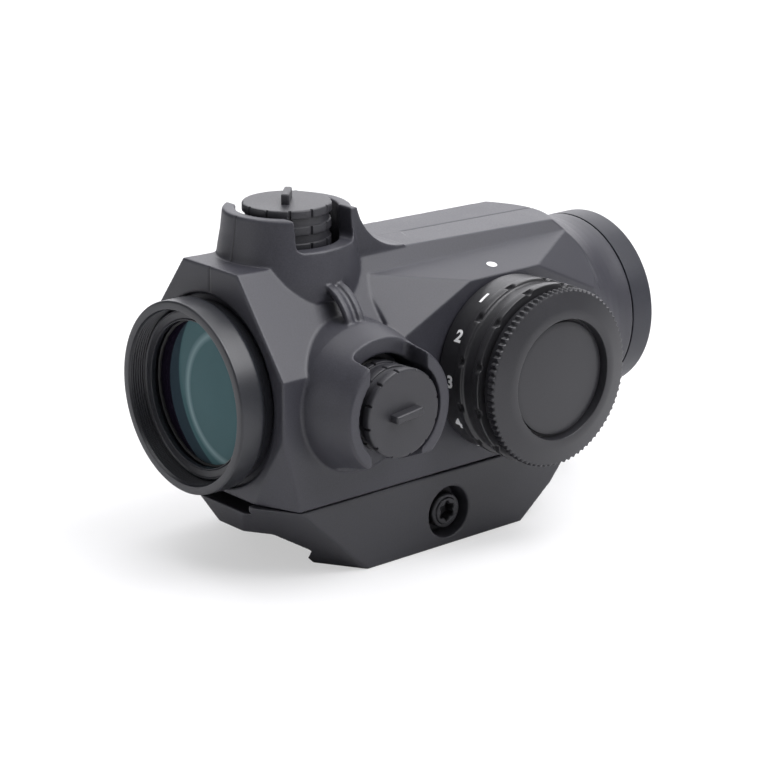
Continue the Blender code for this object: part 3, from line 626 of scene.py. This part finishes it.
def make_ocular():
    bezel = rounded(
        [
            (12.45, REAR_Y + 3.6, 0.05),
            (11.75, REAR_Y + 3.6, 0.05),
            (11.75, REAR_Y + 7.2),
            (9.75, REAR_Y + 7.2),
            (9.75, REAR_Y + 9.8),
            (11.6, REAR_Y + 9.8),
            (11.6, SHELL_REAR_Y + 0.7),
            (13.0, SHELL_REAR_Y + 0.7),
            (13.0, SHELL_REAR_Y - 0.5),
            (BEZEL_R, SHELL_REAR_Y - 1.6, 0.3),
            (BEZEL_R, REAR_Y, 0.35),
            (12.6, REAR_Y, 0.1),
        ]
    )
    bezel += threads(12.6, REAR_Y + 0.35, REAR_Y + 3.5, 0.36, 0.17)
    bezel = lathe(bezel, TUBE_AT, "Y", 192)
    settle("ocular_bezel_turned", bezel, BEZEL, "housing", ["ocular_bezel"])
    lens = [
        (0, REAR_Y + 6.75),
        (5.0, REAR_Y + 6.75, 2.0),
        (11.4, REAR_Y + 6.6, 0.1),
        (11.4, REAR_Y + 4.6, 0.15),
        (6.0, REAR_Y + 4.38, 2.5),
        (0, REAR_Y + 4.3),
    ]
    settle("ocular_window", lathe(rounded(lens), TUBE_AT, "Y"), GLASS, "housing", ["ocular_lens"])
    ring = [
        (12.15, REAR_Y + 3.3),
        (12.15, REAR_Y + 2.45, 0.08),
        (11.9, REAR_Y + 2.4, 0.08),
        (11.8, REAR_Y + 2.6, 0.08),
        (10.85, REAR_Y + 2.7, 0.1),
        (10.75, REAR_Y + 2.55, 0.05),
        (10.6, REAR_Y + 2.55, 0.1),
        (10.6, REAR_Y + 3.3),
    ]
    ring = lathe(rounded(ring, 0.08), TUBE_AT, "Y", 240)
    settle("ocular_retainer", ring, BEZEL, "housing", ["ocular_retaining_ring"])


def make_hood():
    hood = [
        (12.6, FRONT_Y, 0.1),
        (NECK_R, FRONT_Y, 0.4),
        (NECK_R, HOOD_Y + GAP / 2, 0.1),
        (11.65, HOOD_Y + GAP / 2),
        (11.65, HOOD_Y - 2.2),
        (10.9, HOOD_Y - 2.2),
        (10.9, HOOD_Y + 0.6),
        (12.6, HOOD_Y + 2.2),
    ]
    hood = rounded(hood) + threads(12.85, HOOD_Y + 2.3, FRONT_Y - 0.25)
    hood = lathe(hood, TUBE_AT, "Y", 192)
    settle("objective_hood_turned", hood, HOOD, "housing", ["objective_hood"])


def make_optic_tube():
    tube = [
        (10.7, TUBE_FRONT_Y),
        (10.7, GIMBAL_Y + 2.2),
        (10.2, GIMBAL_Y + 2.2),
        (10.2, GIMBAL_Y - 2.2),
        (TUBE_R, GIMBAL_Y - 2.2),
        (TUBE_R, TUBE_REAR_Y),
        (9.75, TUBE_REAR_Y),
        (9.75, GIMBAL_Y - 3.2),
        (9.2, GIMBAL_Y - 3.2),
        (9.2, TUBE_FRONT_Y - 4.6),
        (9.9, TUBE_FRONT_Y - 4.6),
        (9.9, TUBE_FRONT_Y),
    ]
    tube = lathe(rounded(tube, 0.1), TUBE_AT, "Y")
    settle("optic_tube_turned", tube, INNER, "optic_tube", ["optic_tube"])
    lens = [
        (0, TUBE_FRONT_Y - 1.1),
        (5.0, TUBE_FRONT_Y - 1.25, 2.4),
        (9.6, TUBE_FRONT_Y - 1.9, 0.1),
        (9.6, TUBE_FRONT_Y - 4.3, 0.1),
        (5.0, TUBE_FRONT_Y - 3.75, 2.4),
        (0, TUBE_FRONT_Y - 3.6),
    ]
    lens = lathe(rounded(lens), TUBE_AT, "Y")
    settle("objective_window", lens, FRONT_GLASS, "optic_tube", ["objective_lens"])
    ring = sleeve(9.6, 8.9, TUBE_FRONT_Y - 1.1, TUBE_FRONT_Y - 0.1, TUBE_AT, "Y")
    settle("objective_retainer", ring, BEZEL, "optic_tube", ["objective_retaining_ring"])


# ---------------------------------------------------------------- turret caps
def make_cap(prefix, axis, blade_deg, notch_deg):
    """The screw cap: a flat disc over three flanges, each with small notches, and the key blade."""
    pitch, flange = 2.42, 1.2
    profile = [(0, CAP_FACE), (5.7, CAP_FACE, 0.05), (CAP_R - 0.1, CAP_FACE, 0.3)]
    for i in range(3):
        top = CAP_FACE - pitch * i
        radius = CAP_R - (0.1 if i else 0)
        if i:
            profile += [(5.95, top, 0.06), (radius, top, 0.1)]
        else:
            profile[-1] = (radius, top, 0.3)
        bottom = max(top - flange, 19.0)
        profile += [(radius, bottom, 0.12)]
        profile += [(5.95, bottom, 0.06)] if i < 2 else []
    profile += [(5.6, 19.0, 0.05), (5.6, 23.4), (0, 23.4)]

    def notches(angles, radius, height):
        from_notch = (np.degrees(angles) - notch_deg + 15) % 30 - 15
        dip = np.clip(1.8 - np.abs(from_notch) / 1.1, 0, 1)
        return radius - 0.3 * dip * (radius > 6.1) * (height > 19.2)

    cap = lathe(rounded(profile), TURRET_AT, axis, 480, notches)
    blade = block((-2.45, -0.575, CAP_FACE - 0.3), (2.45, 0.575, CAP_FACE + 1.5))
    turn = Matrix.Rotation(math.radians(blade_deg), 4, "Z")
    blade.matrix_world = Matrix.Translation(Vector(TURRET_AT)) @ AXES[axis] @ turn
    bevel = blade.modifiers.new("ease", "BEVEL")
    bevel.width = 0.28
    bevel.segments = 4
    body = prefix + "_cap"
    settle(prefix + "_cap_moulded", joined_mesh([cap, blade]), CAP, body, [prefix + "_cap"])


# ---------------------------------------------------------------- knob and battery cap
def make_knob():
    front = KNOB_FRONT
    ridge = [
        (11.5, front, 0.08),
        (GRIP_R, front, 0.14),
        (GRIP_R, front - 0.72, 0),
        (GRIP_R, front - 0.74, 0),
        (GRIP_R, front - 1.2, 0.1),
        (GROOVE_R + 0.5, front - 1.35, 0.25),
        (GROOVE_R + 0.5, front - 3.45, 0.25),
        (GRIP_R, front - 3.6, 0.14),
        (GRIP_R, front - 4.32, 0),
        (GRIP_R, front - 4.34, 0),
        (GRIP_R, front - 4.8, 0.05),
        (KNOB_R, front - 4.8, 0.05),
        (KNOB_R, KNOB_BACK, 0.2),
        (DETENT_R + 1.0, KNOB_BACK),
        (DETENT_R + 1.0, KNOB_BACK + 0.9),
        (DETENT_R - 1.0, KNOB_BACK + 0.9),
        (DETENT_R - 1.0, KNOB_BACK),
        (3.9, KNOB_BACK),
        (3.9, 18.3),
        (3.5, 18.3),
        (3.5, 20.3),
        (10.3, 20.3),
        (10.3, 22.9),
        (11.5, 22.9),
    ]

    def scallops(angles, radius, height):
        """Notches in the outer part of each grip band, midway between the numbers."""
        apart = np.abs((np.degrees(angles) % 30) - 15)
        dip = np.clip(1.7 - apart / 1.9, 0, 1)
        upper = (height > front - 0.73) or (front - 4.33 < height < front - 3.5)
        return radius - 0.5 * dip * (radius > 13.0) * upper

    knob = lathe(rounded(ridge), KNOB_AT, "X", 360, scallops)
    settle("brightness_knob_moulded", knob, KNOB, "brightness_knob", ["brightness_knob"])


def numeral(text, height=1.9):
    """A number as a flat mesh centred on the origin, sliced so that it can bend."""
    curve = bpy.data.curves.new("numeral", "FONT")
    curve.body = text
    curve.extrude = 0.04
    curve.offset = 0.035
    obj = bpy.data.objects.new("numeral", curve)
    WORKSHOP.objects.link(obj)
    mesh = final_mesh(obj)
    bm = bmesh.new()
    bm.from_mesh(mesh)
    bpy.data.meshes.remove(mesh)
    bpy.data.objects.remove(obj, do_unlink=True)
    low = Vector([min(v.co[i] for v in bm.verts) for i in range(3)])
    high = Vector([max(v.co[i] for v in bm.verts) for i in range(3)])
    middle, scale = (low + high) / 2, height / (high.y - low.y)
    for v in bm.verts:
        v.co = Vector(((v.co.x - middle.x) * scale, (v.co.y - middle.y) * scale, v.co.z))
    for k in range(-3, 4):
        cells = bm.verts[:] + bm.edges[:] + bm.faces[:]
        bmesh.ops.bisect_plane(bm, geom=cells, plane_co=(0, k * 0.25, 0), plane_no=(0, 1, 0))
    return bm


def make_numerals():
    """Numbers 1 to 11 round the knob, 30 degrees apart, wrapped onto its ring. Off is blank."""
    whole = bmesh.new()
    for i in range(1, 12):
        bm = numeral(str(i))
        for v in bm.verts:
            turn = math.radians(30 * i) - v.co.y / KNOB_R
            radius = KNOB_R + 0.015 + v.co.z * 0.5
            v.co = Vector((18.75 + v.co.x, -radius * math.sin(turn), AXIS_Z + radius * math.cos(turn)))
        part = bpy.data.meshes.new("part")
        bm.to_mesh(part)
        bm.free()
        whole.from_mesh(part)
        bpy.data.meshes.remove(part)
    mesh = bpy.data.meshes.new("numerals")
    whole.to_mesh(mesh)
    whole.free()
    settle("knob_numerals", mesh, MARK, "brightness_knob")


def make_battery_cap():
    profile = [
        (0, 27.75),
        (7.4, 27.68, 0),
        (8.3, 27.55, 0.1),
        (8.42, 27.28, 0.04),
        (8.56, 27.28, 0.04),
        (8.6, 27.05, 0.04),
        (8.8, 27.05, 0.04),
        (8.85, CAP_OUT, 0.12),
        (9.95, CAP_OUT, 0.5),
        (12.5, CAP_OUT - 0.71, 0),
        (12.7, CAP_OUT - 0.773, 0),
        (CAP_RIM_R, CAP_OUT - 0.9, 0.12),
        (CAP_RIM_R, CAP_BACK, 0.12),
        (GROOVE_R, CAP_BACK, 0.05),
        (GROOVE_R, KNOB_FRONT + GAP),
        (11.2, KNOB_FRONT + GAP),
        (11.2, 23.6),
        (10.3, 23.6),
        (10.3, 24.1),
        (0, 24.1),
    ]
    teeth = 84

    def knurl(angles, radius, height):
        tooth = np.abs(((angles * teeth / math.pi) % 2) - 1)
        depth = 0.34 * np.clip((radius - 12.74) / 0.2, 0, 1)
        return radius - depth * np.clip(tooth * 1.5 - 0.25, 0, 1)

    cap = lathe(rounded(profile), KNOB_AT, "X", teeth * 8, knurl)
    settle("battery_cap_knurled", cap, KNOB_FACE, "battery_cap", ["battery_cap"])


# ---------------------------------------------------------------- rail clamp base
def rail_channel():
    flank = RAIL_WIDE_HALF - RAIL_TOP_HALF
    lip_rise = RAIL_WIDE_HALF - LIP_HALF
    half = [
        (RAIL_TOP_HALF, 0),
        (RAIL_WIDE_HALF, -flank),
        (LIP_HALF, -flank - lip_rise),
        (LIP_HALF, LIP_Z - 2),
    ]
    return plate(half + [(-x, z) for x, z in reversed(half)], -70, 70, FRONT_VIEW)


def make_base():
    rear_right = ((HALF_WIDTH, -38.0, SPLIT_Z), (0.40, -0.66, -0.70))
    rear_left = ((-HALF_WIDTH, -31.6, SPLIT_Z), (-0.55, -0.66, -0.55))
    rear_centre = ((0, -41.4, 4.0), (0, -0.87, -0.50))
    nose = [
        ((0, 4.0, LIP_Z), (0, 4.75, -6.0)),
        ((0, 10.0, -0.95), (0, 2.35, -2.0)),
        ((0, 12.0, 1.4), (0, 4.4, -3.8)),
    ]
    front_corner = ((HALF_WIDTH, 11.0, -0.95), (0.45, 0.70, -0.55))
    planes = [rear_right, rear_left, rear_centre, *nose, *mirrored(front_corner)]
    base = block((-HALF_WIDTH, -41.5, LIP_Z), (HALF_WIDTH, 16.5, SPLIT_Z - 0.06), planes)
    slot = block((-8.6, -43.5, 4.3), (8.6, -33.5, 8))
    jaw_room = block((-30, JAW_REAR_Y - GAP, LIP_Z - 2), (-7.4, JAW_FRONT_Y + GAP, JAW_TOP_Z + GAP))
    shaft = rod(2.3, -20, 20, SCREW_AT, "X", 64)
    recess = rod(3.85, 12.6, 20, SCREW_AT, "X")
    wells = []
    for x, y in BASE_SCREWS:
        wells += [rod(2.7, -3, 2.7, (x, y, 0), "Z", 64), rod(1.7, 1, 8, (x, y, 0), "Z", 48)]
    boolean(base, "DIFFERENCE", [rail_channel(), slot, jaw_room, shaft, recess, *wells])
    settle("mount_base_milled", cast_skin(base), BASE, "housing", ["mount_base"], 0)


def make_clamp():
    profile = [
        (0, 14.1),
        (1.4, 14.1, 0.1),
        (1.42, 15.5, 0.1),
        (1.62, 15.7, 0.05),
        (1.95, 15.7, 0.1),
        (2.05, 15.45, 0.05),
        (2.45, 15.45, 0.12),
        (2.65, 15.2, 0.1),
        (2.65, 12.9),
        (1.85, 12.9),
        (1.85, -15.6, 0.3),
        (0, -15.6),
    ]

    def lobes(angles, radius, height):
        if radius > 1.63 or height < 13:
            return np.full(len(angles), radius)
        return radius * (0.88 + 0.13 * np.cos(6 * angles))

    screw = lathe(rounded(profile, 0.1), SCREW_AT, "X", 144, lobes)
    settle("clamp_screw_turned", screw, STEEL, "clamp_screw", ["clamp_screw"])
    jaw = block(
        (-HALF_WIDTH, JAW_REAR_Y, LIP_Z),
        (-RAIL_TOP_HALF + 0.25, JAW_FRONT_Y, JAW_TOP_Z),
        [((-HALF_WIDTH, 0, -4.4), (-0.7, 0, -0.7)), ((-HALF_WIDTH, 0, 2.6), (-0.7, 0, 0.7))],
    )
    bore = rod(2.3, -20, 0, SCREW_AT, "X", 64)
    nut_room = rod(4.05, -20, -13.0, SCREW_AT, "X", 6)
    boolean(jaw, "DIFFERENCE", [rail_channel(), bore, nut_room])
    settle("clamp_jaw_milled", cast_skin(jaw, voxel=0.14), BASE, "clamp_jaw", ["clamp_jaw"], 0)


def dress_frame():
    """CAD nodes whose shape is already right keep it and take a procedural finish."""
    finishes = {
        "gimbal_ring": STEEL,
        "emitter_holder": INNER,
        "led_emitter": LAMP,
        "elevation_turret": BEZEL,
        "windage_turret": BEZEL,
        "elevation_dial": BRASS,
        "windage_dial": BRASS,
        "elevation_plunger": STEEL,
        "windage_plunger": STEEL,
        "elevation_cap_seal": RUBBER,
        "windage_cap_seal": RUBBER,
        "battery_cap_seal": RUBBER,
        "ocular_seal": RUBBER,
        "battery": CELL,
        "contact_spring": SPRING,
        "circuit_board": BOARD,
        "switch_spindle": STEEL,
        "detent_spring": SPRING,
        "detent_ball": SPRING,
        "bias_spring": SPRING,
        "base_screw_1": STEEL,
        "base_screw_2": STEEL,
        "base_screw_3": STEEL,
        "base_screw_4": STEEL,
        "clamp_nut": STEEL,
    }
    for name, finish in finishes.items():
        mesh = frame["nodes"][name].data
        mesh.materials.clear()
        mesh.materials.append(finish)


# ---------------------------------------------------------------- studio
PAPER_DARK = (0.74, 0.74, 0.745)
PAPER_LIGHT = (0.76, 0.76, 0.765)
PAPER_GLOW = 0.4
SOFT_WHITE = (0.98, 0.975, 1.0)
COOL_WHITE = (0.97, 0.965, 1.0)
WORLD_LIGHT = 0.22
CAMERA_AT = (0.28836, -0.25674, 0.13651)
CAMERA_AZIMUTH = 49.28
CAMERA_ELEVATION = 17.84
CAMERA_LENS = 125.2


def make_paper():
    """White paper whose shadows the camera sees softened by an even glow, as on a lit table."""
    paper = bpy.data.materials.new("paper")
    paper.use_nodes = True
    tree = paper.node_tree
    shader = tree.nodes["Principled BSDF"]
    coords = tree.nodes.new("ShaderNodeTexCoord").outputs["Object"]
    tone = noise(tree, coords, 3.0)
    tree.links.new(tinted(tree, tone, PAPER_DARK, PAPER_LIGHT), shader.inputs["Base Color"])
    shader.inputs["Roughness"].default_value = 0.9
    shader.inputs["Specular IOR Level"].default_value = 0.1
    glow = tree.nodes.new("ShaderNodeEmission")
    glow.inputs["Strength"].default_value = 1.25
    seen = tree.nodes.new("ShaderNodeLightPath").outputs["Is Camera Ray"]
    blend = tree.nodes.new("ShaderNodeMixShader")
    tree.links.new(worked(tree, "MULTIPLY", seen, PAPER_GLOW), blend.inputs["Fac"])
    tree.links.new(shader.outputs[0], blend.inputs[1])
    tree.links.new(glow.outputs[0], blend.inputs[2])
    tree.links.new(blend.outputs[0], tree.nodes["Material Output"].inputs["Surface"])
    return paper


def make_floor():
    bm = bmesh.new()
    bmesh.ops.create_grid(bm, x_segments=8, y_segments=8, size=4.0)
    mesh = bpy.data.meshes.new("studio_floor")
    bm.to_mesh(mesh)
    bm.free()
    floor = bpy.data.objects.new("studio_floor", mesh)
    floor.location = (0, 0, (LIP_Z - 0.05) * MM)
    bpy.context.scene.collection.objects.link(floor)
    mesh.materials.append(make_paper())


def area_light(name, at, target, width, height, radiance, colour=(1, 1, 1)):
    data = bpy.data.lights.new(name, "AREA")
    data.shape = "RECTANGLE"
    data.size, data.size_y = width, height
    data.energy = radiance * math.pi * width * height
    data.color = colour
    lamp = bpy.data.objects.new(name, data)
    at = Vector(at)
    lamp.location = at
    lamp.rotation_euler = (Vector(target) - at).to_track_quat("-Z", "Y").to_euler()
    lamp.visible_camera = False
    bpy.context.scene.collection.objects.link(lamp)


def make_studio():
    make_floor()
    area_light("top_softbox", (0.02, 0.05, 0.55), (0, 0, 0.02), 0.60, 0.60, 2.7, SOFT_WHITE)
    area_light("key", (0.44, 0.22, 0.58), (0, 0, 0.02), 0.55, 0.55, 5.8, SOFT_WHITE)
    area_light("fill", (-0.28, -0.78, 0.16), (0, 0, 0.03), 0.5, 0.3, 1.7, COOL_WHITE)
    area_light("backdrop", (-0.58, 0.56, 0.42), (0, 0, 0.03), 1.0, 0.85, 2.1, COOL_WHITE)
    world = bpy.data.worlds.new("studio")
    bpy.context.scene.world = world
    world.use_nodes = True
    tree = world.node_tree
    tree.nodes.clear()
    out = tree.nodes.new("ShaderNodeOutputWorld")
    path = tree.nodes.new("ShaderNodeLightPath")
    seen = tree.nodes.new("ShaderNodeBackground")
    light = tree.nodes.new("ShaderNodeBackground")
    pick = tree.nodes.new("ShaderNodeMixShader")
    seen.inputs["Color"].default_value = (1, 1, 1, 1)
    seen.inputs["Strength"].default_value = 1.0
    light.inputs["Color"].default_value = (0.98, 0.985, 1.0, 1)
    light.inputs["Strength"].default_value = WORLD_LIGHT
    tree.links.new(path.outputs["Is Camera Ray"], pick.inputs["Fac"])
    tree.links.new(light.outputs[0], pick.inputs[1])
    tree.links.new(seen.outputs[0], pick.inputs[2])
    tree.links.new(pick.outputs[0], out.inputs["Surface"])
    bpy.context.scene.view_settings.view_transform = "Standard"
    bpy.context.scene.view_settings.look = "None"


def make_camera():
    data = bpy.data.cameras.new("camera")
    data.sensor_width = 36.0
    data.lens = CAMERA_LENS
    data.clip_start = 0.01
    camera = bpy.data.objects.new("camera", data)
    camera.location = CAMERA_AT
    camera.rotation_euler = (math.radians(90 - CAMERA_ELEVATION), 0, math.radians(CAMERA_AZIMUTH))
    bpy.context.scene.collection.objects.link(camera)
    bpy.context.scene.camera = camera


make_housing()
make_index_dot()
make_ocular()
make_hood()
make_optic_tube()
make_cap("elevation", "Z", 136, -35)
make_cap("windage", "X", 97, 10)
make_knob()
make_numerals()
make_battery_cap()
make_base()
make_clamp()
dress_frame()
bpy.data.collections.remove(WORKSHOP)
make_studio()
make_camera()
